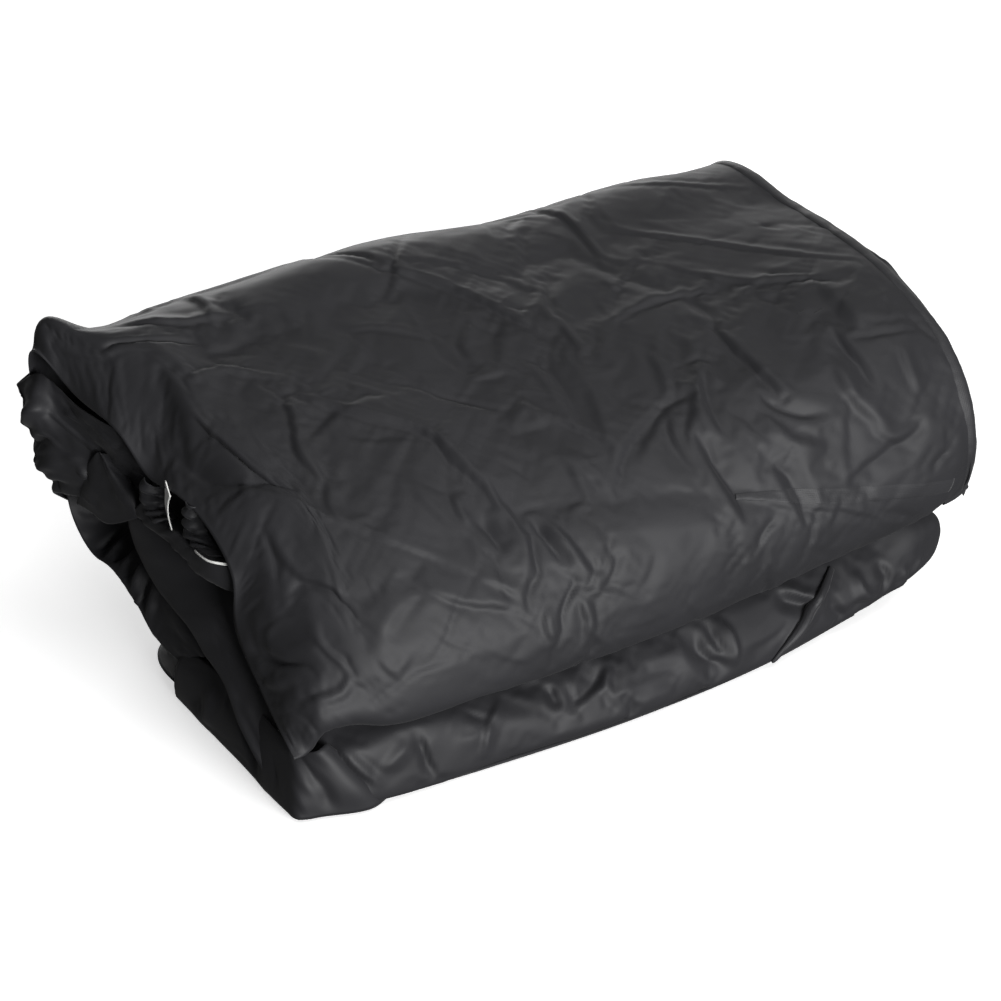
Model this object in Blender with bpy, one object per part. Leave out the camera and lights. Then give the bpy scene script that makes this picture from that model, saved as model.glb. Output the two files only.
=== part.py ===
"""Grill cover folded into a soft bundle: an upper fold that opens off a lower fold like a book.

Metres, +Z up. X runs along the bundle, -Y is its front (the open side of the two folds),
+Y is its back (the fold line). The origin is the middle of the bundle's footprint, on the floor.
Every folded panel of the cover, and every trim sewn to it, is a separate closed solid.
"""
import math

import bpy
from mathutils import Vector

# Driving dimensions
HALF_LENGTH = 0.220
HALF_DEPTH = 0.1225
HEIGHT = 0.168
FOLD_Z = 0.048            # height of the gap between the two folds
GAP = 0.0006              # clearance between layers that lie on each other
WRAP = 0.009              # thickness of the folded outer wrap
BASE = 0.005              # thickness of the layer on the floor
HINGE_Y = 0.120           # the fold line at the back

TAPE_WIDTH = 0.011        # seam binding and hem tape
TAPE = 0.0014
ELASTIC_WIDTH = 0.006
ELASTIC = 0.0010
CASING_RADIUS = 0.0036    # the gathered hem that holds the elastic
ROLL_RADIUS = 0.0030      # a hem rolled over at its end
TACK_LENGTH = 0.008
TACK_RADIUS = 0.0009

RING = 28                 # points around a full section
STEP_X = 0.030            # spacing of the sections along X

# The upper fold's section at five places along X:
# x, back y, front y, underside z, ridge z, shoulder y, shoulder z
UPPER_STATIONS = [
    (-0.186, 0.1190, -0.1120, 0.052, 0.1600, -0.070, 0.112),
    (-0.130, 0.1220, -0.1190, 0.050, 0.1650, -0.086, 0.120),
    (-0.040, HALF_DEPTH, -HALF_DEPTH, 0.050, 0.1670, -0.092, 0.124),
    (0.080, HALF_DEPTH, -0.1190, 0.050, HEIGHT, -0.092, 0.138),
    (0.192, 0.1180, -0.1080, 0.058, 0.1650, -0.090, 0.153),
]
UPPER_ENDS = (-0.184, 0.190)
# The lower fold's section: x, back y, front y, underside z, top z
LOWER_STATIONS = [
    (-0.174, 0.070, -0.104, BASE + GAP, FOLD_Z - 0.006),
    (-0.100, 0.104, -0.112, BASE + GAP, FOLD_Z - GAP),
    (0.050, 0.106, -0.112, BASE + GAP, FOLD_Z - GAP),
    (0.150, 0.104, -0.102, BASE + GAP, FOLD_Z - GAP),
]
LOWER_ENDS = (-0.174, 0.150)
# The layer on the floor: x, front y, back y
FLOOR_STATIONS = [
    (-0.191, -0.1075, 0.003),
    (-0.150, -0.1100, 0.060),
    (0.055, -0.1150, 0.098),
    (0.128, -0.0990, 0.098),
    (0.160, -0.0940, 0.088),
]

COLOURS = {
    "taffeta": ((0.030, 0.030, 0.033, 1.0), 0.55),
    "binding": ((0.022, 0.022, 0.024, 1.0), 0.70),
    "elastic": ((0.780, 0.780, 0.760, 1.0), 0.80),
    "thread": ((0.010, 0.010, 0.011, 1.0), 0.80),
}


def clear_scene():
    for item in list(bpy.data.objects):
        bpy.data.objects.remove(item, do_unlink=True)


def material(name):
    """The named Principled material, made once."""
    found = bpy.data.materials.get(name)
    if found:
        return found
    colour, roughness = COLOURS[name]
    made = bpy.data.materials.new(name)
    made.use_nodes = True
    shader = made.node_tree.nodes["Principled BSDF"]
    shader.inputs["Base Color"].default_value = colour
    shader.inputs["Roughness"].default_value = roughness
    shader.inputs["Metallic"].default_value = 0.0
    return made


def make_object(name, verts, faces, slot):
    mesh = bpy.data.meshes.new(name)
    mesh.from_pydata([tuple(v) for v in verts], [], faces)
    mesh.shade_smooth()
    mesh.set_sharp_from_angle(angle=math.radians(50.0))
    mesh.materials.append(material(slot))
    if signed_volume(mesh) < 0.0:
        mesh.flip_normals()
    made = bpy.data.objects.new(name, mesh)
    bpy.context.scene.collection.objects.link(made)
    return made


def signed_volume(mesh):
    total = 0.0
    mesh.calc_loop_triangles()
    for tri in mesh.loop_triangles:
        a, b, c = [mesh.vertices[i].co for i in tri.vertices]
        total += a.dot(b.cross(c)) / 6.0
    return total


def skin(name, rings, slot):
    """A closed solid over a row of rings, with a face at each end."""
    size = len(rings[0])
    verts = [v for ring in rings for v in ring]
    faces = []
    for i in range(len(rings) - 1):
        for k in range(size):
            a = i * size + k
            b = i * size + (k + 1) % size
            faces.append((a, b, b + size, a + size))
    last = (len(rings) - 1) * size
    faces.append(tuple(reversed(range(size))))
    faces.append(tuple(range(last, last + size)))
    return make_object(name, verts, faces, slot)


def catmull(quad, t):
    a, b, c, d = quad
    return 0.5 * (2.0 * b + (c - a) * t + (2.0 * a - 5.0 * b + 4.0 * c - d) * t * t
                  + (3.0 * b - a - 3.0 * c + d) * t * t * t)


def spline(points, count, closed):
    """Points spaced evenly along a smooth curve through the given ones."""
    points = [Vector(p) for p in points]
    size = len(points)
    fine = []
    for i in range(size if closed else size - 1):
        if closed:
            quad = [points[(i + k - 1) % size] for k in range(4)]
        else:
            quad = [points[min(max(i + k - 1, 0), size - 1)] for k in range(4)]
        fine += [catmull(quad, k / 12.0) for k in range(12)]
    fine.append(points[0 if closed else -1].copy())
    lengths = [0.0]
    for a, b in zip(fine, fine[1:]):
        lengths.append(lengths[-1] + (b - a).length)
    result = []
    j = 0
    for i in range(count):
        target = lengths[-1] * i / (count if closed else count - 1)
        while j < len(fine) - 2 and lengths[j + 1] < target:
            j += 1
        span = max(lengths[j + 1] - lengths[j], 1e-9)
        result.append(fine[j].lerp(fine[j + 1], (target - lengths[j]) / span))
    return result


def station_at(stations, x):
    """The stations' values at x, eased between neighbours."""
    if x <= stations[0][0]:
        return stations[0][1:]
    for low, high in zip(stations, stations[1:]):
        if x <= high[0]:
            t = (x - low[0]) / (high[0] - low[0])
            t = t * t * (3.0 - 2.0 * t)
            return tuple(a + (b - a) * t for a, b in zip(low[1:], high[1:]))
    return stations[-1][1:]


def places(start, end, step=STEP_X):
    """Section positions from start to end, about a step apart."""
    count = max(2, round((end - start) / step) + 1)
    return [start + (end - start) * i / (count - 1) for i in range(count)]


def upper_outline(x):
    """The upper fold's outer section: from the foot of its back, over the top, down the front."""
    back, front, low, ridge, shoulder_y, shoulder_z = station_at(UPPER_STATIONS, x)
    loop = spline([
        (back - 0.020, low + 0.002),
        (back - 0.003, low + 0.022),
        (back, (low + ridge) / 2.0),
        (back - 0.006, ridge - 0.014),
        (back - 0.026, ridge),
        ((back + shoulder_y) / 2.0, ridge * 0.62 + shoulder_z * 0.38 + 0.004),
        (shoulder_y, shoulder_z),
        (front + 0.007, (low + shoulder_z) / 2.0 + 0.012),
        (front, low + 0.022),
        (front + 0.010, low + 0.003),
        (front + 0.034, low),
        (0.0, low),
    ], RING, True)
    return within(loop, front, back, low, ridge)


def lower_outline(x):
    """The lower fold's outer section: a flat-bottomed loaf."""
    back, front, low, top = station_at(LOWER_STATIONS, x)
    middle = (low + top) / 2.0
    loop = spline([
        (back - 0.012, low),
        (back, middle),
        (back - 0.012, top),
        (0.0, top),
        (front + 0.014, top),
        (front, middle + 0.004),
        (front + 0.006, low + 0.003),
        (front + 0.024, low),
        (0.0, low),
    ], RING, True)
    return within(loop, front, back, low, top)


def within(loop, front, back, low, top):
    """The loop kept inside its own box, so that it rests flat."""
    return [Vector((min(max(p.x, front), back), min(max(p.y, low), top))) for p in loop]


def inset(loop, distance):
    """A closed loop of (y, z) points moved inwards by a distance."""
    result = []
    for i, point in enumerate(loop):
        along = loop[(i + 1) % len(loop)] - loop[i - 1]
        result.append(point - outward(along) * distance)
    return result


def outward(along):
    return Vector((along.y, -along.x)).normalized()


def nearest(loop, y, z):
    """The index of the loop's point nearest to (y, z)."""
    return min(range(len(loop)), key=lambda i: (loop[i] - Vector((y, z))).length)


def raised(outline, x, index, lift):
    """A point of the outline at x, raised off it, and the direction it was raised in."""
    loop = outline(x)
    along = loop[(index + 1) % RING] - loop[(index - 1) % RING]
    normal = outward(along)
    point = loop[index % RING] + normal * lift
    return Vector((x, point.x, point.y)), Vector((0.0, normal.x, normal.y))


def wrap(name, outline, ends, opening):
    """A folded layer laid round an outline, left open between the opening's two (y, z) places."""
    loop = outline(0.0)
    first = nearest(loop, *opening[0])
    last = nearest(loop, *opening[1])
    span = [i % RING for i in range(first, (last if last > first else last + RING) + 1)]
    rings = []
    for x in places(*ends):
        outer = outline(x)
        inner = inset(outer, WRAP)
        section = [outer[i] for i in span] + [inner[i] for i in reversed(span)]
        rings.append([Vector((x, *p)) for p in section])
    return skin(name, rings, "taffeta")


def box_section(x, y0, y1, z0, z1, corner):
    """A box section with cut corners in the plane at x."""
    return [Vector((x, y, z)) for y, z in [
        (y0 + corner, z0), (y1 - corner, z0), (y1, z0 + corner), (y1, z1 - corner),
        (y1 - corner, z1), (y0 + corner, z1), (y0, z1 - corner), (y0, z0 + corner)]]


def taper(name, base, tip, start, end, slot, steps=4):
    """A solid that closes in from one (y, z) outline at start to another at end."""
    base = spline(base, RING // 2, True)
    tip = spline(tip, RING // 2, True)
    rings = []
    for i in range(steps + 1):
        t = i / steps
        ease = 1.0 - math.sqrt(max(0.0, 1.0 - t * t))
        x = start + (end - start) * t
        rings.append([Vector((x, *a.lerp(b, ease))) for a, b in zip(base, tip)])
    return skin(name, rings, slot)


def bar(name, path, width, height, corner, slot="taffeta"):
    """A folded layer along a path: a box section with cut corners, level all the way."""
    rings = []
    for i, point in enumerate(path):
        along = path[min(i + 1, len(path) - 1)] - path[max(i - 1, 0)]
        side = Vector((along.y, -along.x, 0.0)).normalized()
        half = width / 2.0
        low = -height / 2.0
        section = [(-half + corner, low), (half - corner, low), (half, low + corner), (half, -low - corner),
                   (half - corner, -low), (-half + corner, -low), (-half, -low - corner), (-half, low + corner)]
        rings.append([point + side * s + Vector((0.0, 0.0, z)) for s, z in section])
    return skin(name, rings, slot)


def ribbon(name, path, facing, width, thickness, slot):
    """A flat tape along a path; facing gives the way its outer side looks at each point."""
    rings = []
    for i, point in enumerate(path):
        along = (path[min(i + 1, len(path) - 1)] - path[max(i - 1, 0)]).normalized()
        across = along.cross(facing[i]).normalized()
        lift = across.cross(along).normalized() * thickness
        across = across * (width / 2.0)
        rings.append([point - across, point + across, point + across + lift, point - across + lift])
    return skin(name, rings, slot)


def tube(name, path, radius, slot, sides=8):
    """A rolled edge or a thread along a path."""
    rings = []
    for i, point in enumerate(path):
        along = (path[min(i + 1, len(path) - 1)] - path[max(i - 1, 0)]).normalized()
        side = along.cross(Vector((0.31, 0.0, 0.95))).normalized()
        other = side.cross(along).normalized()
        angles = [2.0 * math.pi * k / sides for k in range(sides)]
        rings.append([point + (side * math.cos(a) + other * math.sin(a)) * radius for a in angles])
    return skin(name, rings, slot)


def build_upper_wrap():
    """The top panel with the skirts beside it, laid over the upper fold and open underneath."""
    wrap("top_panel_wrap", upper_outline, UPPER_ENDS, ((0.102, FOLD_Z), (-0.095, FOLD_Z)))


def build_upper_packs():
    """The front and rear skirts, folded into packs side by side under the wrap."""
    middle = 0.010
    for name, y0, y1, share in [("front_skirt_pack", -0.080, middle - GAP, 1.0),
                                ("rear_skirt_pack", middle + GAP, 0.094, 0.4)]:
        rings = []
        for x in places(-0.176, 0.184, 0.045):
            _, _, low, ridge, _, shoulder_z = station_at(UPPER_STATIONS, x)
            roof = shoulder_z * share + ridge * (1.0 - share)
            rings.append(box_section(x, y0, y1, low + 0.001, roof - WRAP - 0.013, 0.012))
        skin(name, rings, "taffeta")


def build_left_end():
    """The left end panel, its flap, the gathered hem and the elastic that the hem holds."""
    start = UPPER_ENDS[0] - GAP
    taper("left_end_panel",
          [(-0.015, 0.112), (0.055, 0.104), (0.108, 0.094), (0.118, 0.122), (0.106, 0.151), (0.050, 0.146),
           (0.000, 0.135)],
          [(0.085, 0.122), (0.095, 0.118), (0.108, 0.118), (0.112, 0.126), (0.108, 0.138), (0.095, 0.138),
           (0.088, 0.132)],
          start, -HALF_LENGTH, "taffeta")
    flap = [(-0.080, 0.055), (0.020, 0.054), (0.095, 0.064), (0.104, 0.082), (0.070, 0.092), (0.000, 0.096),
            (-0.050, 0.082)]
    taper("left_end_flap", flap, [(y * 0.82 + 0.010, z * 0.8 + 0.015) for y, z in flap], start, -0.200, "taffeta", 3)
    mouth = [Vector(p) for p in [(-0.2055, 0.062, 0.0930), (-0.2060, 0.040, 0.0900), (-0.2060, 0.016, 0.0820),
                                 (-0.2055, -0.006, 0.0720), (-0.2045, -0.024, 0.0640)]]
    path = spline(mouth, 9, False)
    tube("left_hem_casing", path, CASING_RADIUS, "taffeta")
    drop = Vector((0.0022, 0.0, -0.0085))
    ribbon("hem_elastic", [p + drop for p in path[1:-1]], [Vector((-1.0, 0.0, 0.35))] * (len(path) - 2),
           ELASTIC_WIDTH, ELASTIC, "elastic")
    corner = [(0.074, 0.082), (0.104, 0.072), (0.116, 0.080), (0.112, 0.091), (0.085, 0.0925)]
    taper("left_hem_corner", corner, [(y * 0.5 + 0.055, z * 0.5 + 0.044) for y, z in corner],
          -0.2006, -0.2180, "taffeta", 3)


def build_right_end():
    """The right end panel, the binding that joins it to the wrap and the rolled end of the hem."""
    base = inset(upper_outline(UPPER_ENDS[1]), 0.004)
    rings = []
    start = UPPER_ENDS[1] + GAP
    reach = HALF_LENGTH - start
    middle = Vector((-0.030, 0.106))
    for t in (0.0, 0.30, 0.60, 0.85, 1.0):
        size = math.sqrt(1.0 - 0.80 * t * t)
        rings.append([Vector((start + reach * t, *(middle + (p - middle) * size))) for p in base])
    skin("right_end_panel", rings, "taffeta")

    x = UPPER_ENDS[1] - TAPE_WIDTH / 2.0 - 0.001
    loop = upper_outline(x)
    span = range(nearest(loop, 0.118, 0.090), nearest(loop, -0.106, 0.085) + 1)
    pairs = [raised(upper_outline, x, i, 0.0012) for i in span]
    ribbon("right_end_binding", [p for p, _ in pairs], [n for _, n in pairs], TAPE_WIDTH, TAPE, "binding")

    roll = [Vector(p) for p in [(0.178, -0.1135, 0.0730), (0.192, -0.1125, 0.0665), (0.204, -0.1085, 0.0630)]]
    tube("hem_rolled_end", spline(roll, 5, False), ROLL_RADIUS, "taffeta")


def build_front_trims():
    """The hem tape across the front face and the two thread tacks on top."""
    lift = 0.0016
    height = 0.082
    path = []
    for x in places(0.070, 0.172, 0.0255):
        loop = upper_outline(x)
        point, _ = raised(upper_outline, x, nearest(loop, -0.115, height), lift)
        path.append(Vector((x, point.y, height)))
    ribbon("front_hem_tape", path, [Vector((0.0, -1.0, 0.16))] * len(path), TAPE_WIDTH, TAPE, "binding")
    for name, x, y in [("bar_tack_left", 0.139, 0.042), ("bar_tack_right", 0.152, 0.036)]:
        loop = upper_outline(x)
        top = max(p.y for p in loop if abs(p.x - y) < 0.025)
        height = top + TACK_RADIUS + 2.0 * GAP
        ends = [Vector((x - TACK_LENGTH / 2.0, y, height)), Vector((x + TACK_LENGTH / 2.0, y, height))]
        tube(name, ends, TACK_RADIUS, "thread", 6)


def build_lower_wrap():
    """The rear skirt wrapped over and under the lower fold, open at the back, and its pack."""
    wrap("lower_skirt_wrap", lower_outline, LOWER_ENDS, ((0.060, FOLD_Z), (0.060, BASE)))
    rings = []
    for x in places(LOWER_ENDS[0] + 0.008, LOWER_ENDS[1] - 0.008, 0.045):
        back, front, low, top = station_at(LOWER_STATIONS, x)
        rings.append(box_section(x, front + WRAP + 0.010, back - 0.004, low + WRAP + 0.002, top - WRAP - 0.002,
                                 0.006))
    skin("lower_skirt_pack", rings, "taffeta")


def build_floor_layer():
    rings = []
    for x, y0, y1 in FLOOR_STATIONS:
        rings.append([Vector((x, y, z)) for y, z in [(y0, 0.0), (y1, 0.0), (y1, BASE), (y0, BASE)]])
    skin("floor_layer", rings, "taffeta")


def build_lower_ends():
    """The pleats stacked at the left end, the fold at the right end and the rolled hem in front."""
    pleat = 0.0122
    rows = [("left_pleat_low", -0.1930, -0.098, 0.000), ("left_pleat_middle", -0.1900, -0.100, 0.034),
            ("left_pleat_high", -0.1920, -0.094, 0.056)]
    for i, (name, x, y0, y1) in enumerate(rows):
        z = BASE + GAP + pleat * (i + 0.5) + GAP * i
        ends = [Vector((x + 0.004, y0, z)), Vector((x - 0.004, (y0 + y1) / 2.0, z)), Vector((x + 0.003, y1, z))]
        bar(name, spline(ends, 7, False), 0.020, pleat, 0.004)

    outline = lower_outline(LOWER_ENDS[1])
    start = LOWER_ENDS[1] + GAP
    rings = []
    for t, size, rise in [(0.0, 0.94, 0.0), (0.45, 0.90, 0.001), (0.8, 0.80, 0.004), (1.0, 0.62, 0.008)]:
        middle = Vector((-0.008, 0.027 + rise * 0.4))
        rings.append([Vector((start + 0.052 * t, *(middle + (p - middle) * size))) for p in outline])
    skin("lower_right_fold", rings, "taffeta")

    stand_off = ROLL_RADIUS + 0.0012
    roll = []
    for x, z in [(0.128, 0.042), (0.118, 0.030), (0.094, 0.016), (0.062, 0.0092)]:
        _, front, _, _ = station_at(LOWER_STATIONS, x)
        roll.append(Vector((x, front - stand_off, z)))
    tube("lower_hem_roll", spline(roll, 9, False), ROLL_RADIUS, "taffeta")


def build_back_fold():
    """The fold that joins the two folds at the back, just under the hinge line."""
    rings = []
    outer = HINGE_Y - 0.001
    for x, y0, y1 in [(-0.120, 0.1050, outer - 0.005), (-0.080, 0.1060, outer), (0.120, 0.1060, outer),
                      (0.150, 0.1050, outer - 0.005)]:
        rings.append(box_section(x, y0, y1, 0.0012, FOLD_Z - 0.0015, 0.004))
    skin("back_fold", rings, "taffeta")


def centre_footprint():
    """Moves the whole bundle so that its box stands on the floor with its middle at the origin."""
    points = [v.co for item in bpy.data.objects for v in item.data.vertices]
    shift = Vector((0.0, 0.0, 0.0))
    for axis in (0, 1):
        values = [p[axis] for p in points]
        shift[axis] = -(min(values) + max(values)) / 2.0
    for item in bpy.data.objects:
        item.location = shift


def main():
    clear_scene()
    build_upper_wrap()
    build_upper_packs()
    build_left_end()
    build_right_end()
    build_front_trims()
    build_lower_wrap()
    build_floor_layer()
    build_lower_ends()
    build_back_fold()
    centre_footprint()


main()
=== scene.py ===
"""Grill cover folded into a bundle: the looks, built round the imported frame.

Every fabric piece is a grid laid through a few rails, each a smooth line in space. It is
creased in the cloth's own flat coordinates and then meshed. The two big wraps also buckle in the cloth
solver. X runs along the bundle and -Y is its front. Rails and strokes are written in millimetres.
"""
import math

import bpy
import numpy as np
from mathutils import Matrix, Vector


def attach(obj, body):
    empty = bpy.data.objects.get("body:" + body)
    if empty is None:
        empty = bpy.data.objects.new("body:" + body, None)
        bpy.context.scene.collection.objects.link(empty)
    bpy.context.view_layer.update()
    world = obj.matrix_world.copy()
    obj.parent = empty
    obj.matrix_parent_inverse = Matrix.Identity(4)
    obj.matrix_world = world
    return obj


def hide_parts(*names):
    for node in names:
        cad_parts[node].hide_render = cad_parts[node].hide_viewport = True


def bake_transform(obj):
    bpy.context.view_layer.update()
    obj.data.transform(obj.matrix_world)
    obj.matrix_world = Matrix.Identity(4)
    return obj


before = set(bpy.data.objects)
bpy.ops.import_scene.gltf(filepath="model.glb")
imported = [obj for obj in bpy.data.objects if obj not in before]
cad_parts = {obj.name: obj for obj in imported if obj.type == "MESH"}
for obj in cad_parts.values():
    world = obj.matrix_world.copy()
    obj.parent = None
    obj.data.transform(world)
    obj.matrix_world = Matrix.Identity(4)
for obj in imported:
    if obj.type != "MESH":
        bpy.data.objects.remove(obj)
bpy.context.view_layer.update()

LOWER = "lower_fold"
UPPER = "upper_fold"

# ---------------------------------------------------------------- camera, light and floor

AIM = Vector((-0.0141, 0.0017, 0.0708))
AZIMUTH = math.radians(-30.0)
ELEVATION = math.radians(31.0)
DISTANCE = 2.22
LENS = 156.4
SENSOR = 36.0

# Each light's name, azimuth and elevation in degrees, distance and size in metres, and power in watts.
LIGHTS = [
    ("key", 0.0, 10.0, 2.4, (1.4, 0.8), 92.0),
    ("top", 50.0, 66.0, 2.8, (2.0, 2.0), 36.0),
    ("rim", 160.0, 12.0, 2.6, (1.6, 1.0), 34.0),
]
LIGHT_AIM = Vector((0.0, 0.0, 0.08))
WORLD_STRENGTH = 0.10
FLOOR_SIZE = 12.0
FLOOR_HEIGHT = -0.0005
FLOOR_GLOW = 0.55


def toward(azimuth, elevation):
    """The unit vector from the bundle to a place at these angles, in radians."""
    return Vector((math.sin(azimuth) * math.cos(elevation), -math.cos(azimuth) * math.cos(elevation),
                   math.sin(elevation)))


def add_camera():
    back = toward(AZIMUTH, ELEVATION)
    data = bpy.data.cameras.new("camera")
    data.lens = LENS
    data.sensor_width = SENSOR
    data.clip_start = 0.05
    made = bpy.data.objects.new("camera", data)
    made.location = AIM + back * DISTANCE
    made.rotation_euler = back.to_track_quat("Z", "Y").to_euler()
    bpy.context.scene.collection.objects.link(made)
    bpy.context.scene.camera = made


def add_light(name, azimuth, elevation, distance, size, power):
    """A soft rectangular white light aimed at the bundle."""
    away = toward(math.radians(azimuth), math.radians(elevation))
    data = bpy.data.lights.new(name, "AREA")
    data.shape = "RECTANGLE"
    data.size, data.size_y = size
    data.energy = power
    made = bpy.data.objects.new(name, data)
    made.location = away * distance + LIGHT_AIM
    made.rotation_euler = away.to_track_quat("Z", "Y").to_euler()
    bpy.context.scene.collection.objects.link(made)


def add_world():
    world = bpy.data.worlds.new("studio")
    world.use_nodes = True
    back = world.node_tree.nodes["Background"]
    back.inputs["Color"].default_value = (1.0, 1.0, 1.0, 1.0)
    back.inputs["Strength"].default_value = WORLD_STRENGTH
    bpy.context.scene.world = world


def add_floor():
    """An evenly glowing pale floor that the cloth does not pick up."""
    bpy.ops.mesh.primitive_plane_add(size=FLOOR_SIZE, location=(0.0, 0.0, FLOOR_HEIGHT))
    floor = bpy.context.object
    floor.name = "studio_floor"
    paint = bpy.data.materials.new("studio_floor")
    paint.use_nodes = True
    shader = paint.node_tree.nodes["Principled BSDF"]
    shader.inputs["Base Color"].default_value = (0.90, 0.90, 0.90, 1.0)
    shader.inputs["Roughness"].default_value = 0.9
    shader.inputs["Emission Color"].default_value = (1.0, 1.0, 1.0, 1.0)
    shader.inputs["Emission Strength"].default_value = FLOOR_GLOW
    floor.data.materials.append(paint)
    floor.visible_diffuse = False
    floor.visible_glossy = False


# ---------------------------------------------------------------- materials

MOTTLING = 0.12
SPECULAR = 0.32
WAVE_SCALE = 0.314


def cloth_material(name, colour, roughness, weave=0.0006, bump=0.12, sheen=0.10):
    """Coated plain-weave cloth: two crossed thread waves, faint blotches in colour and gloss.

    weave is the distance between threads in metres.
    """
    made = bpy.data.materials.new(name)
    made.use_nodes = True
    tree = made.node_tree
    shader = tree.nodes["Principled BSDF"]
    shader.inputs["Sheen Weight"].default_value = sheen
    shader.inputs["Sheen Roughness"].default_value = 0.45
    shader.inputs["Specular IOR Level"].default_value = SPECULAR

    place = tree.nodes.new("ShaderNodeTexCoord")
    blotch = tree.nodes.new("ShaderNodeTexNoise")
    blotch.inputs["Scale"].default_value = 26.0
    blotch.inputs["Detail"].default_value = 5.0
    tree.links.new(place.outputs["Object"], blotch.inputs["Vector"])

    tint = tree.nodes.new("ShaderNodeValToRGB")
    low = [c * (1.0 - MOTTLING) for c in colour]
    high = [c * (1.0 + MOTTLING) for c in colour]
    tint.color_ramp.elements[0].color = (*low, 1.0)
    tint.color_ramp.elements[0].position = 0.3
    tint.color_ramp.elements[1].color = (*high, 1.0)
    tint.color_ramp.elements[1].position = 0.7
    tree.links.new(blotch.outputs["Fac"], tint.inputs["Fac"])
    tree.links.new(tint.outputs["Color"], shader.inputs["Base Color"])

    gloss = tree.nodes.new("ShaderNodeMapRange")
    gloss.inputs["To Min"].default_value = roughness - 0.04
    gloss.inputs["To Max"].default_value = roughness + 0.05
    tree.links.new(blotch.outputs["Fac"], gloss.inputs["Value"])
    tree.links.new(gloss.outputs["Result"], shader.inputs["Roughness"])

    threads = []
    for direction in ("X", "Y"):
        wave = tree.nodes.new("ShaderNodeTexWave")
        wave.wave_type = "BANDS"
        wave.bands_direction = direction
        wave.inputs["Scale"].default_value = WAVE_SCALE / weave
        wave.inputs["Distortion"].default_value = 0.6
        wave.inputs["Detail"].default_value = 1.0
        own = tree.nodes.new("ShaderNodeUVMap")
        own.uv_map = "cloth"
        tree.links.new(own.outputs["UV"], wave.inputs["Vector"])
        threads.append(wave)
    mix = tree.nodes.new("ShaderNodeMath")
    mix.operation = "MULTIPLY"
    tree.links.new(threads[0].outputs["Fac"], mix.inputs[0])
    tree.links.new(threads[1].outputs["Fac"], mix.inputs[1])
    grain = tree.nodes.new("ShaderNodeBump")
    grain.inputs["Strength"].default_value = bump
    grain.inputs["Distance"].default_value = 0.0002
    tree.links.new(mix.outputs["Value"], grain.inputs["Height"])
    tree.links.new(grain.outputs["Normal"], shader.inputs["Normal"])
    return made


# ---------------------------------------------------------------- cloth grids

STEP = 0.002
THICKNESS = 0.0006
STROKE_GAIN = 0.95
FAR_AWAY = 1e9


def metres(number):
    """A number of millimetres in metres, free of rounding dust."""
    return round(number / 1000.0, 7)


def mm(*points):
    """A line of points written in millimetres."""
    return [tuple(metres(c) for c in point) for point in points]


def section(x, *places):
    """A line of points in the plane across the bundle at x, each written as (y, z) in millimetres."""
    return mm(*((x, y, z) for y, z in places))


def stroke_table(rows):
    """Strokes written in millimetres: height, widths (left, right), sharpness, then the points."""
    return [(mm(*points), metres(tall), mm(wide)[0], sharp) for tall, wide, sharp, *points in rows]


def smooth_path(points, count):
    """count points, evenly spaced, along a smooth curve through the given ones."""
    points = np.asarray(points, float)
    if len(points) == 2:
        t = np.linspace(0.0, 1.0, count)[:, None]
        return points[0] * (1.0 - t) + points[1] * t
    gaps = np.linalg.norm(np.diff(points, axis=0), axis=1)
    knots = np.concatenate([[0.0], np.cumsum(gaps)])
    fine = through(points, knots, np.linspace(0.0, knots[-1], 24 * len(points)))
    run = np.concatenate([[0.0], np.cumsum(np.linalg.norm(np.diff(fine, axis=0), axis=1))])
    want = np.linspace(0.0, run[-1], count)
    return np.stack([np.interp(want, run, fine[:, k]) for k in range(fine.shape[1])], 1)


def through(values, knots, at):
    """A smooth cubic curve through rows of values at their knots."""
    values = np.asarray(values, float)
    slope = np.zeros_like(values)
    steps = np.diff(knots)
    shape = (-1,) + (1,) * (values.ndim - 1)
    rise = np.diff(values, axis=0) / steps.reshape(shape)
    slope[0], slope[-1] = rise[0], rise[-1]
    left, right = steps[:-1].reshape(shape), steps[1:].reshape(shape)
    slope[1:-1] = (rise[:-1] * right + rise[1:] * left) / (left + right)
    i = np.clip(np.searchsorted(knots, at, side="right") - 1, 0, len(knots) - 2)
    h = steps[i].reshape(shape)
    t = ((at - knots[i]) / steps[i]).reshape(shape)
    return ((2 * t ** 3 - 3 * t ** 2 + 1) * values[i] + (t ** 3 - 2 * t ** 2 + t) * h * slope[i]
            + (-2 * t ** 3 + 3 * t ** 2) * values[i + 1] + (t ** 3 - t ** 2) * h * slope[i + 1])


def lay(rails, step):
    """A grid of points through the rails: rows run across the rails, columns along them."""
    lengths = [np.linalg.norm(np.diff(np.asarray(r, float), axis=0), axis=1).sum() for r in rails]
    columns = max(4, int(round(max(lengths) / step)) + 1)
    lines = np.stack([smooth_path(r, columns) for r in rails])
    gaps = np.linalg.norm(np.diff(lines, axis=0), axis=2).mean(axis=1)
    knots = np.concatenate([[0.0], np.cumsum(gaps)])
    rows = max(4, int(round(knots[-1] / step)) + 1)
    return through(lines, knots, np.linspace(0.0, knots[-1], rows))


def flat_coordinates(grid):
    """Each point's place on the flat cloth, in metres: across the rails, then along them."""
    u = np.linalg.norm(np.diff(grid, axis=0), axis=2).mean(axis=1)
    v = np.linalg.norm(np.diff(grid, axis=1), axis=2).mean(axis=0)
    return np.concatenate([[0.0], np.cumsum(u)]), np.concatenate([[0.0], np.cumsum(v)])


def normals(grid):
    across = np.gradient(grid, axis=0)
    along = np.gradient(grid, axis=1)
    out = np.cross(across, along)
    return out / np.maximum(np.linalg.norm(out, axis=2, keepdims=True), 1e-9)


def smooth_step(t):
    t = np.clip(t, 0.0, 1.0)
    return t * t * (3.0 - 2.0 * t)


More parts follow.
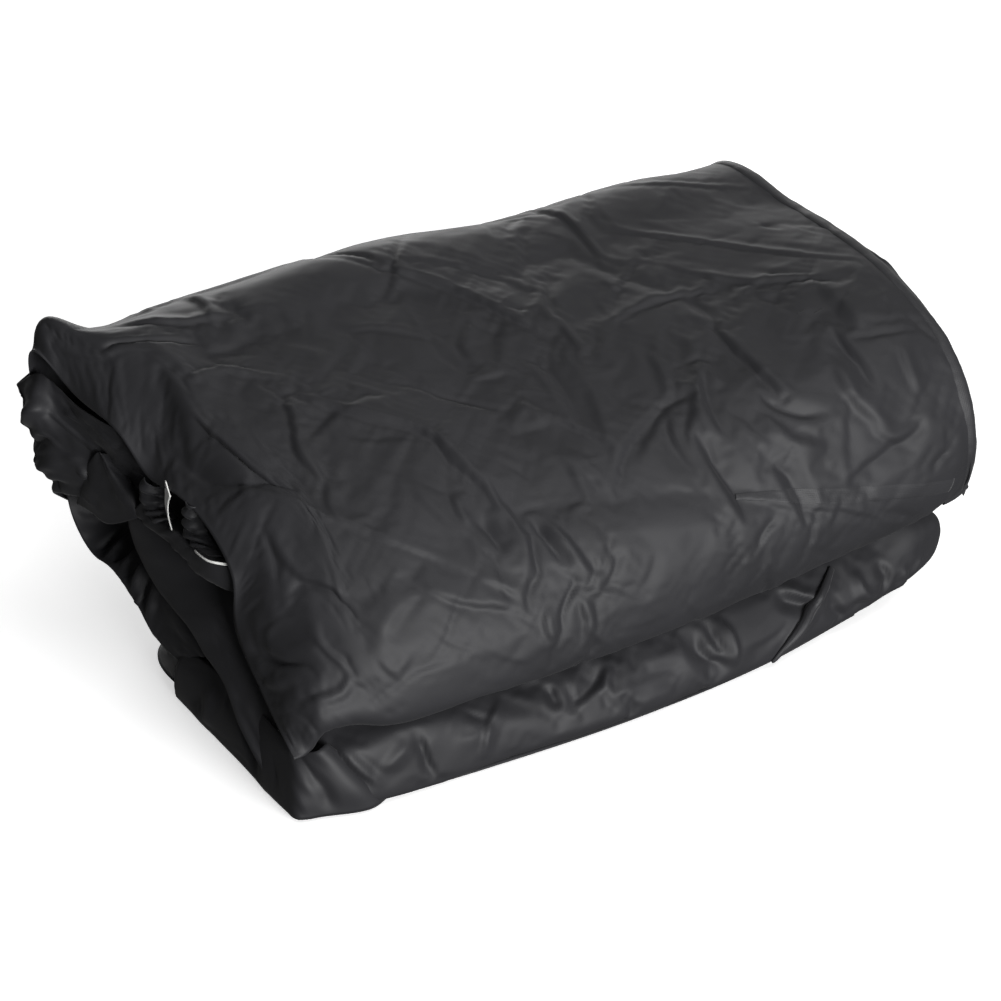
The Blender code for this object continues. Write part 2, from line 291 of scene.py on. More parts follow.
def crease_height(u, v, points, height, width, sharp=0.6, ends=0.35):
    """A fold line's height field: a ridge (or a valley, if negative) along the points.

    width is (left, right), or one number for both. sharp 1 is a tent and 0 a round hump. ends is the share
    of the length over which the line dies away.
    """
    left, right = width if isinstance(width, tuple) else (width, width)
    path = smooth_path(points, max(8, 6 * len(points)))
    best = np.full(u.shape, FAR_AWAY)
    side = np.zeros(u.shape)
    along = np.zeros(u.shape)
    total = len(path) - 1
    for i in range(total):
        a, b = path[i], path[i + 1]
        d = b - a
        size = max(float(d @ d), 1e-12)
        t = np.clip(((u - a[0]) * d[0] + (v - a[1]) * d[1]) / size, 0.0, 1.0)
        du, dv = u - (a[0] + t * d[0]), v - (a[1] + t * d[1])
        gap = np.hypot(du, dv)
        near = gap < best
        best = np.where(near, gap, best)
        side = np.where(near, d[0] * dv - d[1] * du, side)
        along = np.where(near, (i + t) / total, along)
    reach = np.where(side > 0.0, left, right)
    q = best / reach
    tent = np.clip(1.0 - np.sqrt(q * q + 0.01) + 0.1, 0.0, 1.0) ** 1.3
    hump = np.exp(-(q * 1.7) ** 2)
    fade = smooth_step(along / max(ends, 1e-3)) * smooth_step((1.0 - along) / max(ends, 1e-3))
    return height * (sharp * tent + (1.0 - sharp) * hump) * fade


def value_noise(u, v, scale, rng):
    """Smooth random hills with features about scale metres across, from -1 to 1."""
    nu, nv = int(u.max() / scale) + 4, int(v.max() / scale) + 4
    table = rng.uniform(-1.0, 1.0, (nu, nv))
    x, y = u / scale, v / scale
    i, j = np.floor(x).astype(int), np.floor(y).astype(int)
    s, t = smooth_step(x - i), smooth_step(y - j)
    a = table[i, j] * (1 - s) + table[i + 1, j] * s
    b = table[i, j + 1] * (1 - s) + table[i + 1, j + 1] * s
    return a * (1 - t) + b * t


def crinkles(u, v, count, height, length, width, lean, spread, facet, rng):
    """Many short random creases, leaning one way, as pressed taffeta has.

    facet is how many times wider a crease's slow side is than its steep side, from and to.
    """
    total = np.zeros(u.shape)
    for _ in range(count):
        centre = np.array([rng.uniform(0.0, u.max()), rng.uniform(0.0, v.max())])
        angle = lean + rng.normal(0.0, spread)
        half = rng.uniform(*length) / 2.0
        bend = rng.uniform(-0.25, 0.25) * half
        d = np.array([math.cos(angle), math.sin(angle)])
        n = np.array([-d[1], d[0]])
        points = [centre - d * half, centre + n * bend, centre + d * half]
        size = rng.uniform(0.35, 1.0) * height * rng.choice([-1.0, 1.0])
        w = rng.uniform(*width)
        far = 1.5 * w * facet[1]
        box = (abs(u - centre[0]) < half + far) & (abs(v - centre[1]) < half + far)
        if not box.any():
            continue
        i, j = np.where(box.any(axis=1))[0], np.where(box.any(axis=0))[0]
        part = np.s_[i[0]:i[-1] + 1, j[0]:j[-1] + 1]
        total[part] += crease_height(u[part], v[part], points, size, (w, w * rng.uniform(*facet)), 0.8, 0.5)
    return total


def quad_mesh(name, grid):
    """A mesh of four-sided faces between the grid's points."""
    rows, columns = grid.shape[:2]
    index = np.arange(rows * columns).reshape(rows, columns)
    faces = np.stack([index[:-1, :-1], index[1:, :-1], index[1:, 1:], index[:-1, 1:]], -1).reshape(-1, 4)
    mesh = bpy.data.meshes.new(name)
    mesh.from_pydata(grid.reshape(-1, 3).tolist(), [], faces.tolist())
    return mesh


def grid_mesh(name, grid, paint):
    """The grid as a thin cloth with its flat coordinates as UVs."""
    mesh = quad_mesh(name, grid)
    u, v = flat_coordinates(grid)
    place = np.stack(np.meshgrid(u, v, indexing="ij"), -1).reshape(-1, 2)
    layer = mesh.uv_layers.new(name="cloth")
    corners = np.zeros(len(mesh.loops), int)
    mesh.loops.foreach_get("vertex_index", corners)
    layer.data.foreach_set("uv", place[corners].ravel().astype(np.float32))
    mesh.shade_smooth()
    mesh.materials.append(paint)
    made = bpy.data.objects.new(name, mesh)
    bpy.context.scene.collection.objects.link(made)
    shell = made.modifiers.new("thickness", "SOLIDIFY")
    shell.thickness = THICKNESS
    shell.offset = -1.0
    return made


SOLVER_STEPS = 6
CLOTH_MASS = 0.15
STIFFNESS = 15.0
BENDING = 0.05
DAMPING = 8.0
AIR_DAMPING = 3.0
HELD_ROWS = 2


def settle(grid, spare, frames, hold):
    """Lets the grid buckle as cloth does: it gets a share of spare length and finds its own wrinkles.

    spare is an array of the same rows and columns, the share by which each place is too big for its room.
    The rim is held fast and the inside is held softly, by hold, so the shape stays.
    """
    rows, columns = grid.shape[:2]
    mesh = quad_mesh("settling", grid)
    cloth = bpy.data.objects.new("settling", mesh)
    bpy.context.scene.collection.objects.link(cloth)
    i, j = np.meshgrid(np.arange(rows), np.arange(columns), indexing="ij")
    border = np.minimum(np.minimum(i, rows - 1 - i), np.minimum(j, columns - 1 - j))
    pinned = np.where(border < HELD_ROWS, 1.0, hold).ravel()
    pins = cloth.vertex_groups.new(name="pins")
    roomy = cloth.vertex_groups.new(name="roomy")
    most = float(spare.max())
    share = (1.0 - spare / most).ravel()
    for k in range(rows * columns):
        pins.add([k], float(pinned[k]), "REPLACE")
        roomy.add([k], float(share[k]), "REPLACE")
    sim = cloth.modifiers.new("cloth", "CLOTH")
    fit = sim.settings
    fit.quality = SOLVER_STEPS
    fit.mass = CLOTH_MASS
    fit.tension_stiffness = STIFFNESS
    fit.compression_stiffness = STIFFNESS
    fit.shear_stiffness = STIFFNESS * 0.5
    fit.bending_stiffness = BENDING
    fit.tension_damping = DAMPING
    fit.compression_damping = DAMPING
    fit.shear_damping = DAMPING
    fit.air_damping = AIR_DAMPING
    fit.vertex_group_mass = "pins"
    fit.pin_stiffness = 1.0
    fit.vertex_group_shrink = "roomy"
    fit.shrink_min = -most
    fit.shrink_max = 0.0
    fit.effector_weights.gravity = 0.0
    sim.collision_settings.use_collision = False
    sim.point_cache.frame_start = 1
    sim.point_cache.frame_end = frames
    for frame_number in range(1, frames + 1):
        bpy.context.scene.frame_set(frame_number)
    done = cloth.evaluated_get(bpy.context.evaluated_depsgraph_get()).to_mesh()
    flat = np.empty(len(done.vertices) * 3)
    done.vertices.foreach_get("co", flat)
    bpy.data.objects.remove(cloth)
    bpy.data.meshes.remove(mesh)
    bpy.context.scene.frame_set(1)
    return flat.reshape(rows, columns, 3)


SPARE_REACH = 0.022
FULL_STROKE = 0.0024


def spare_share(grid, strokes, calm, busy):
    """How much spare cloth each place has: busy near the tall strokes, calm in between."""
    u, v = flat_coordinates(grid)
    uu, vv = np.meshgrid(u, v, indexing="ij")
    near = np.zeros(uu.shape)
    for points, tall, _, _ in strokes:
        weight = min(1.0, abs(tall) / FULL_STROKE)
        for x, y in smooth_path(points, 6):
            apart = (uu - x) ** 2 + (vv - y) ** 2
            near = np.maximum(near, weight * np.exp(-apart / (2 * SPARE_REACH ** 2)))
    return calm + (busy - calm) * near


def finer(grid, rows, columns):
    """The same surface with more rows and columns, smoothly filled in."""
    a = through(grid, np.arange(grid.shape[0], dtype=float), np.linspace(0.0, grid.shape[0] - 1.0, rows))
    b = through(a.transpose(1, 0, 2), np.arange(grid.shape[1], dtype=float),
                np.linspace(0.0, grid.shape[1] - 1.0, columns))
    return b.transpose(1, 0, 2)


# ---------------------------------------------------------------- the outer wrap

# The wrap spans the lower body and the upper one. These two places on the back are given as its body, so it
# is attached to neither body; the places themselves are not read.
BACK_BEND = ((0.0, 0.124, 0.030), (0.0, 0.100, 0.066))

# Each rail runs from the foot of the back, over the ridge and the top, down the front and under it.
WRAP_RAILS = [
    mm((-190, 100, 62), (-196, 108, 75), (-204, 118, 95), (-215.5, 123, 129.4), (-220, 109.5, 163.1),
       (-209, 86.9, 146.7), (-203, 51, 140.6), (-197, 30, 123.9), (-194, 6, 126), (-191, -15, 122),
       (-189, -42, 104), (-189, -44, 75), (-190, -70, 56), (-190.5, -106, 35)),
    mm((-182, 102, 45), (-187, 109, 62), (-195, 118, 86), (-202, 123, 119.1), (-213.5, 111, 174.2),
       (-205, 93, 167.2), (-189, 53, 153.6), (-186, 27, 139), (-181, -2, 132.5), (-173, -30, 132),
       (-177, -60, 106), (-181, -72, 77), (-186, -97, 54), (-184, -105, 35)),
    mm((-170, 104, 30), (-176, 110, 50), (-184, 118, 78), (-192, 122.5, 118.5), (-205.5, 112, 176.7),
       (-198, 94, 174.7), (-175, 55, 167.4), (-175, 24, 155.8), (-168, -8, 145.5), (-160, -41, 135),
       (-165, -73, 108), (-172, -94, 78), (-178, -109, 52), (-178, -103, 38)),
    mm((-164, 105, 24), (-170, 111, 48), (-178, 118.5, 77), (-186, 122.5, 118.5), (-197, 118, 165.7),
       (-190, 96, 174.2), (-170, 53, 168.4), (-170, 21, 156.8), (-163, -14, 145.5), (-155, -48, 133.5),
       (-160, -80, 107), (-167, -99, 77), (-173, -110, 52), (-173, -99, 39.5)),
    mm((-145, 108, 10), (-145, 114, 42), (-146, 119, 75), (-148, 122, 120.9), (-152, 116, 164.6),
       (-150, 100, 173.7), (-148, 48, 165.3), (-146, 6, 153.9), (-145, -33, 139), (-145, -70, 122),
       (-146, -98, 97), (-147, -112, 70), (-148, -113, 47), (-148, -88, 42)),
    section(-90, (110, 6), (117, 42), (121, 75), (122.5, 121.4), (117, 167.2), (102, 176.7), (48, 168.2),
            (3, 157.2), (-40, 143), (-80, 124), (-107, 98), (-120, 70), (-118, 48), (-88, 44)),
    section(-20, (110, 6), (118, 42), (122, 75), (122.5, 120.9), (117, 165.6), (103, 176.7), (48, 169.3),
            (2, 158.9), (-44, 145), (-86, 127), (-112, 100), (-122.5, 72), (-119, 49), (-88, 45)),
    section(50, (110, 6), (118, 42), (122, 75), (122.5, 119.5), (116.5, 159.5), (99.1, 172), (48, 168.8),
            (2, 161), (-44, 150), (-87, 132), (-111, 105), (-120, 75), (-114, 50), (-85, 46)),
    mm((110, 109, 6), (112, 117, 42), (114, 121, 76), (115, 122.5, 121.8), (117, 117.6, 161.8),
       (118, 105, 173), (119, 47, 170.3), (120, 1, 164.2), (120, -44, 156), (120, -86, 140),
       (120, -107, 110), (120, -114, 79), (120, -107, 54), (118, -80, 48)),
    mm((135, 108, 8), (142, 116, 45), (148, 120.5, 78), (152, 122.5, 120.4), (157, 118.1, 155.7),
       (160, 105.1, 168.3), (166, 46, 168.7), (170, 0, 167.3), (173, -42, 162), (176, -82, 145),
       (178, -103, 115), (179, -110, 85), (177, -104, 60), (172, -78, 52)),
    mm((150, 106, 10), (160, 114, 45), (168, 119, 80), (174, 121, 120), (178, 119, 154), (180, 107, 167),
       (190, 45, 167), (194, 0, 166.5), (196, -40, 160), (200, -80, 141), (201.5, -99, 115),
       (202, -103, 85), (200, -98, 62), (193, -75, 54)),
]


# ---------------------------------------------------------------- making a piece of cloth

def add_relief(grid, strokes=(), seed=1, count=0, height=0.0012, waves=0.0015, wave_size=0.03, lean=0.8,
               spread=0.7, length=(0.015, 0.05), width=(0.0015, 0.005), facet=(0.6, 2.2), rim=0.006):
    """The grid with its placed strokes, short random creases and slow waves pushed along its normals.

    A stroke is (points, height, width, sharp), its points in metres on the flat cloth.
    """
    u, v = flat_coordinates(grid)
    uu, vv = np.meshgrid(u, v, indexing="ij")
    rng = np.random.default_rng(seed)
    push = waves * value_noise(uu, vv, wave_size, rng)
    push += 0.35 * waves * value_noise(uu, vv, wave_size * 0.37, rng)
    if count:
        push += crinkles(uu, vv, count, height, length, width, lean, spread, facet, rng)
    for points, tall, wide, sharp in strokes:
        push += crease_height(uu, vv, points, tall * STROKE_GAIN, wide, sharp)
    if rim:
        edge = np.minimum(np.minimum(uu, u[-1] - uu), np.minimum(vv, v[-1] - vv))
        push *= 0.35 + 0.65 * smooth_step(edge / rim)
    return grid + normals(grid) * push[..., None]


def cloth_piece(name, rails, body, slot, paint, stands_for=(), rests_on=(), step=STEP, held="folded",
                buckle=None, fine=None, **relief):
    """A named sheet through the rails, creased, hiding the parts it stands for, and riding on its body.

    body is a body's name, or anything else (such as two places), which leaves the sheet on no body with its
    transform baked in. buckle, if given, says how the solver's buckles are found on a coarser grid (its
    step, the spare share near strokes and elsewhere, hold and frames); they are added to the creased grid.
    fine is one more relief over that.
    """
    plain = lay(rails, step)
    grid = add_relief(plain, **relief)
    if buckle:
        smooth = lay(rails, buckle["step"])
        coarse = add_relief(smooth, **relief)
        share = spare_share(smooth, relief["strokes"], buckle["calm"], buckle["busy"])
        buckles = settle(coarse, share, buckle["frames"], buckle["hold"]) - coarse
        grid = grid + finer(buckles, *plain.shape[:2])
    if fine:
        grid = add_relief(grid, **fine)
    made = grid_mesh(name, grid, paint)
    if isinstance(body, str):
        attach(made, body)
    else:
        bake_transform(made)
    if stands_for:
        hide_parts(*stands_for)
    return grid


def strip_on(grid, path, widths, lift, step):
    """A grid for a tape laid on a finished cloth: path is in the cloth's flat metres."""
    u, v = flat_coordinates(grid)
    length = np.linalg.norm(np.diff(np.asarray(path), axis=0), axis=1).sum()
    line = smooth_path(path, max(6, int(length / step)))
    direction = np.gradient(line, axis=0)
    direction /= np.linalg.norm(direction, axis=1, keepdims=True)
    sideways = np.stack([-direction[:, 1], direction[:, 0]], 1)
    wide = np.interp(np.linspace(0, 1, len(line)), np.linspace(0, 1, len(widths)), widths)
    lanes = max(4, int(round(max(widths) / step)) + 1)
    up = normals(grid)
    outward = 1.0 if np.median(up[..., 2]) > 0.0 else -1.0
    rows = []
    for lane in np.linspace(-0.5, 0.5, lanes):
        spot = line + sideways * (wide * lane)[:, None]
        i = np.interp(spot[:, 0], u, np.arange(len(u)))
        j = np.interp(spot[:, 1], v, np.arange(len(v)))
        crown = lift * (1.0 - 0.8 * abs(2.0 * lane) ** 4)
        rows.append(sample(grid, i, j) + outward * crown * sample(up, i, j))
    return np.stack(rows)


def sample(grid, i, j):
    """Values of a grid between its points."""
    i0 = np.clip(np.floor(i).astype(int), 0, grid.shape[0] - 2)
    j0 = np.clip(np.floor(j).astype(int), 0, grid.shape[1] - 2)
    s, t = (i - i0)[:, None], (j - j0)[:, None]
    near = grid[i0, j0] * (1 - s) + grid[i0 + 1, j0] * s
    far = grid[i0, j0 + 1] * (1 - s) + grid[i0 + 1, j0 + 1] * s
    return near * (1 - t) + far * t


def trim_piece(name, grid, body, paint, stands_for=()):
    """A tape, rolled hem or stitch: too narrow to be a sheet of its own."""
    made = grid_mesh(name, grid, paint)
    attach(made, body)
    if stands_for:
        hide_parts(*stands_for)
    return made


def shifted(rail, dx=0.0, dy=0.0, dz=0.0):
    return [(x + dx, y + dy, z + dz) for x, y, z in rail]


def ribbon_rails(path, widths, across):
    """Two rails either side of a path, for a narrow tape."""
    path = np.asarray(path, float)
    across = np.asarray(across, float)
    across = across / np.linalg.norm(across)
    widths = np.asarray(widths, float)[:, None]
    return [path - across * widths / 2.0, path + across * widths / 2.0]


# ---------------------------------------------------------------- the upper fold

def rolled_hem():
    """A grid for the rolled-up end of the hem: a spiral of nearly two turns, thinner at both ends."""
    first = (0.190, -0.099, 0.062)
    run = (0.016, 0.003, 0.003)
    radius, tightening, ripple, twist = 0.0038, 0.00022, 0.0004, 0.4
    turns = np.linspace(0.0, 3.6 * math.pi, 90)
    roll = []
    for along in np.linspace(0.0, 1.0, 22):
        size = (radius - tightening * turns) * (0.72 + 0.28 * math.sin(math.pi * along))
        x = first[0] + run[0] * along + ripple * np.sin(3.0 * turns)
        y = first[1] + run[1] * along + size * np.cos(turns + twist * along)
        z = first[2] + run[2] * along + size * np.sin(turns + twist * along)
        roll.append(np.stack([x, y, z], 1))
    return np.stack(roll)


def upper_pieces(taffeta, binding, thread):
    wrap = cloth_piece("outer_wrap", WRAP_RAILS, BACK_BEND, "taffeta", taffeta,
        stands_for=("top_panel_wrap", "back_fold"), rests_on=("front_skirt_pack",), step=0.0015,
        strokes=WRAP_STROKES, seed=7, count=70, height=0.0009, waves=0.001, wave_size=0.055,
        length=(0.02, 0.08), width=(0.0016, 0.0035), facet=(3.0, 7.0),
        buckle={"step": 0.0032, "busy": 0.013, "calm": 0.001, "hold": 0.1, "frames": 14},
        fine={"seed": 8, "count": 260, "height": 0.0006, "waves": 0.0001, "wave_size": 0.012,
              "width": (0.001, 0.002), "facet": (1.5, 5.0)})

    hem = mm((281, 397), (311, 408), (336, 418), (364, 429), (398, 444))
    trim_piece("hem_tape_front", strip_on(wrap, hem, (0.004, 0.01, 0.01, 0.009), 0.0009, 0.0012), UPPER,
        binding, ("front_hem_tape",))
    tacks = {"left": mm((355, 319), (359, 318)), "right": mm((362, 322), (367, 321))}
    for side, line in tacks.items():
        tack = strip_on(wrap, line, (0.0012, 0.0015, 0.0012), 0.0007, 0.0003)
        trim_piece("stitch_tack_" + side, tack, UPPER, thread, ("bar_tack_" + side,))
    seam = WRAP_RAILS[-1]
    end_rails = [
        seam[4:10],
        mm((178, 118, 138), (198, 85, 150), (205, 45, 153), (209, 0, 152), (209, -40, 148),
           (202, -91, 129)),
        mm((173, 121, 115), (201, 85, 120), (211, 45, 122), (217, 0, 123), (219, -55, 121),
           (203, -100, 112)),
        mm((168, 120, 85), (199, 85, 88), (210, 45, 90), (217, 0, 92), (220, -62, 92), (203, -104, 86)),
        mm((160, 114, 58), (190, 80, 60), (200, 45, 62), (206, 0, 63), (209, -55, 66), (201, -99, 66)),
        mm((150, 100, 50), (172, 75, 50), (180, 45, 51), (184, 0, 52), (186, -45, 54), (188, -78, 56)),
    ]
    cloth_piece("end_panel_right", end_rails, UPPER, "taffeta", taffeta, stands_for=("right_end_panel",),
        rests_on=("rear_skirt_pack",), step=0.0016, seed=11, count=40, height=0.0016, waves=0.0012,
        wave_size=0.045, length=(0.02, 0.07), width=(0.0015, 0.003), facet=(3.0, 6.0), lean=1.2)

    trim = seam[1:13]
    crest = [(x + 0.0022, y * 1.006, z + 0.0006) for x, y, z in trim]
    inner = [(x - 0.0040, y, z - 0.0004) for x, y, z in trim]
    outer = [(x + 0.0050, y * 0.985, z - 0.0028) for x, y, z in trim]
    cloth_piece("seam_binding_right", [inner, shifted(inner, 0.0012, 0.0, 0.0012), crest, outer], UPPER,
        "binding", binding, stands_for=("right_end_binding",), step=0.001, held=None, seed=13, waves=0.0003,
        wave_size=0.008, rim=0.0)

    under = [
        mm((-184, -100, 43), (-186, -30, 51), (-186, 40, 52), (-180, 100, 52)),
        section(-120, (-108, 44.5), (-30, 49), (40, 50), (108, 50)),
        section(0, (-112, 46.5), (-30, 49), (40, 50), (110, 50)),
        mm((110, -104, 50), (110, -30, 50), (110, 40, 50), (105, 108, 50)),
        mm((192, -90, 56), (190, -30, 52), (184, 40, 50.5), (150, 102, 50)),
    ]
    cloth_piece("upper_underside", under, UPPER, "taffeta", taffeta,
        stands_for=("front_skirt_pack", "rear_skirt_pack"), rests_on=("outer_wrap",), step=0.004, seed=17,
        count=40, height=0.0007, waves=0.0006, wave_size=0.05, length=(0.04, 0.12))

    trim_piece("hem_roll_end", rolled_hem(), UPPER, binding, ("hem_rolled_end",))


def left_end_pieces(taffeta, white):
    gather = [
        mm((-215, 122, 146), (-217, 130, 136), (-214, 128, 112), (-209, 122, 90), (-204, 112, 70)),
        mm((-220, 133.5, 133), (-220, 125, 124), (-219, 118, 108), (-216.5, 114.5, 90), (-213, 110, 78)),
        mm((-216.5, 113, 148), (-223.5, 105, 136), (-222.5, 100, 117), (-219.5, 98, 100), (-213, 100, 84)),
        mm((-213, 104, 146), (-214, 95, 130), (-213, 86, 118), (-211, 81, 105), (-208, 86, 88)),
        mm((-209.5, 90, 141.5), (-207, 81, 130), (-204.5, 75, 119), (-202.5, 73, 108), (-200.5, 80, 92)),
        mm((-202, 62, 139), (-201, 60, 129), (-200, 58, 119), (-199, 58, 110), (-198, 62, 100)),
        mm((-192, 50, 134), (-190, 48, 126), (-189, 46, 118), (-188, 46, 110), (-187, 50, 102)),
    ]
    pleat = stroke_table([
        (-4, (4, 4), 0.8, (0, 12), (22, 18), (45, 10)),
        (3, (4, 4), 0.8, (2, 24), (24, 30), (47, 25)),
        (-3, (4, 4), 0.8, (4, 36), (20, 41), (44, 38)),
        (3, (4, 4), 0.8, (4, 47), (20, 52), (44, 50)),
    ])
    cloth_piece("end_gather_left", gather, UPPER, "taffeta", taffeta, stands_for=("left_end_panel",),
        rests_on=("left_end_flap",), step=0.0012, strokes=pleat, seed=21, count=26, height=0.0022,
        waves=0.0016, wave_size=0.014, length=(0.01, 0.03), width=(0.001, 0.003), lean=0.2)

    flap = [
        mm((-206, 70, 121), (-208.5, 82, 104), (-208.5, 90, 89), (-208.5, 93, 80)),
        mm((-205.5, 69, 121.5), (-208.5, 73, 106), (-209.5, 79, 94), (-207.5, 80, 82)),
        mm((-205, 68, 121.5), (-204.5, 60, 109), (-203.5, 56, 98), (-204.5, 60, 84)),
        mm((-204.5, 67, 121), (-202.5, 54, 110), (-200, 41, 98.5), (-200, 41, 96)),
        mm((-198, 67, 118), (-196, 54, 108), (-194, 43, 98), (-194, 43, 96)),
    ]
    cloth_piece("end_flap_left", flap, UPPER, "taffeta", taffeta, stands_for=("left_end_flap",),
        rests_on=("left_band",), step=0.0012, seed=22, count=8, height=0.0012, waves=0.0007,
        wave_size=0.014, length=(0.01, 0.03), width=(0.001, 0.003))

    edge = mm((-199.5, 51, 96), (-199, 50, 86), (-198.5, 47, 78), (-198, 34, 69), (-197.5, 18, 63),
              (-196.5, -7, 58), (-195.5, -20, 51), (-194.5, -41, 43), (-194, -55, 28), (-193, -69, 18),
              (-192, -80, 9))
    behind = shifted(edge, 0.006, 0.003, -0.004)
    front = mm((-198.5, 40, 98), (-197.5, 33, 90), (-196.5, 26, 82), (-195.5, 14, 74), (-194.5, 0, 69),
               (-193.5, -18, 64), (-192.5, -32, 56), (-192, -49, 45), (-191.5, -60, 30), (-191, -72, 20),
               (-190.5, -82, 10))
    middle = mm((-194, 28, 99.5), (-192, 18, 94), (-190, 10, 88), (-188, -2, 80), (-187, -14, 74),
                (-186, -28, 68), (-185, -40, 60), (-185, -56, 48), (-185, -66, 32), (-186, -76, 22),
                (-187, -84, 11))
    deep = mm((-185, 20, 101), (-182, 8, 97), (-178, -2, 92), (-175, -15, 86), (-174, -28, 80),
              (-174, -40, 74), (-174, -50, 64), (-174, -64, 52), (-176, -74, 36), (-178, -82, 24),
              (-182, -88, 12))
    cloth_piece("left_band", [behind, edge, front, middle, deep], UPPER, "taffeta", taffeta,
        stands_for=("left_hem_casing",), rests_on=("left_end_flap",), step=0.0015, seed=23, count=14,
        height=0.001, waves=0.0008, wave_size=0.02, length=(0.02, 0.05), width=(0.001, 0.003), lean=1.5,
        spread=0.2)

    strip = [
        mm((-188, 44, 90), (-188, 23, 92), (-187, -1, 93), (-185, -15, 90), (-184, -29, 89),
           (-173, -50, 90)),
        mm((-199.5, 45, 97), (-198.5, 23, 97.5), (-197, -1, 98.5), (-195.5, -15, 95), (-192.5, -29, 94),
           (-174, -50, 95)),
        mm((-199.5, 40, 103), (-199, 24, 101), (-197.5, 2, 101.5), (-196, -13, 99.5), (-193, -30, 100),
           (-174, -50, 101)),
        mm((-197, 34, 109), (-197, 24, 104.5), (-196, 5, 104.5), (-195, -11, 104), (-192.5, -30, 106),
           (-174, -50, 107)),
        mm((-188, 32, 108), (-188, 23, 104), (-188, 5, 103.5), (-187, -11, 103), (-185, -30, 105),
           (-170, -50, 106)),
    ]
    cloth_piece("left_hem_strip", strip, UPPER, "taffeta", taffeta, stands_for=("left_hem_corner",),
        rests_on=("left_band",), step=0.0012, seed=24, count=18, height=0.001, waves=0.0006,
        wave_size=0.012, length=(0.01, 0.03), width=(0.001, 0.003))

    ruffle_left = [
        mm((-197.5, 33, 123), (-197.5, 38.5, 114), (-198, 37, 106), (-197.5, 25, 103)),
        mm((-198.5, 29, 122.5), (-199, 34, 114), (-199, 32.5, 107), (-198.5, 20, 104)),
        mm((-195, 26, 121), (-195.5, 30, 113), (-195.5, 28.5, 107.5), (-195, 18, 104.5)),
        section(-188, (26, 120), (30, 112), (28, 107), (18, 104)),
    ]
    teeth = [([(0.000, 0.0035 * i + 0.002), (0.016, 0.0035 * i + 0.003)], 0.0016 * (-1) ** i, 0.0017, 0.9)
             for i in range(8)]
    cloth_piece("mouth_ruffle_left", ruffle_left, UPPER, "taffeta", taffeta, rests_on=("left_hem_strip",),
        step=0.0007, strokes=teeth, seed=25, count=10, height=0.0008, waves=0.0005, wave_size=0.006,
        length=(0.005, 0.012), width=(0.0007, 0.0015), rim=0.0)
    ruffle_right = [
        section(-190, (0, 126), (2, 117), (3.5, 108), (-5, 105.5), (-15, 105)),
        mm((-193, -3.5, 126), (-193.5, -2, 117), (-193.5, 0, 109), (-193, -7.5, 106), (-192.5, -19, 105.5)),
        mm((-192.5, -7, 126), (-192.5, -6, 117), (-192.5, -5, 110), (-192, -11, 107), (-191.5, -25, 106.5)),
        mm((-186, -9, 125), (-185, -9, 117), (-185, -9, 111), (-185, -15, 108), (-185, -30, 107)),
    ]
    cloth_piece("mouth_ruffle_right", ruffle_right, UPPER, "taffeta", taffeta, rests_on=("left_hem_strip",),
        step=0.0007, strokes=teeth, seed=26, count=12, height=0.0008, waves=0.0005, wave_size=0.006,
        length=(0.005, 0.012), width=(0.0007, 0.0015), rim=0.0)

    tape = mm((-195.5, 12.5, 126.5), (-195.7, 14, 120.5), (-196, 13.9, 114.8), (-196.3, 11, 109),
              (-196, 7, 103.5), (-191.5, 0, 100), (-191.5, -9, 101), (-195.2, -16.1, 105.8),
              (-194.6, -30, 107.2), (-184, -41, 107))
    width = [0.0095, 0.0060, 0.0046, 0.0042, 0.0032, 0.0020, 0.0015, 0.0014, 0.0014, 0.0013]
    cloth_piece("elastic_tape", ribbon_rails(tape, width, (0.15, 0.8, 0.45)), UPPER, "elastic", white,
        stands_for=("hem_elastic",), rests_on=("left_hem_strip",), step=0.0006, seed=27, waves=0.0001,
        wave_size=0.004, rim=0.0, held=None)

    core = [
        mm((-176, 112, 140), (-180, 114, 100), (-178, 108, 54)),
        mm((-186, 80, 146), (-184, 78, 105), (-176, 75, 52)),
        mm((-183, 40, 140), (-180, 35, 105), (-174, 30, 50)),
        mm((-174, 0, 128), (-172, -10, 100), (-170, -15, 49)),
        section(-166, (-50, 110), (-55, 90), (-60, 47)),
        section(-168, (-85, 85), (-88, 70), (-90, 46)),
    ]
    cloth_piece("left_inner_fold", core, UPPER, "taffeta", taffeta, rests_on=("outer_wrap",), step=0.003,
        seed=28, count=20, height=0.002, waves=0.003, wave_size=0.03)


# ---------------------------------------------------------------- the lower fold

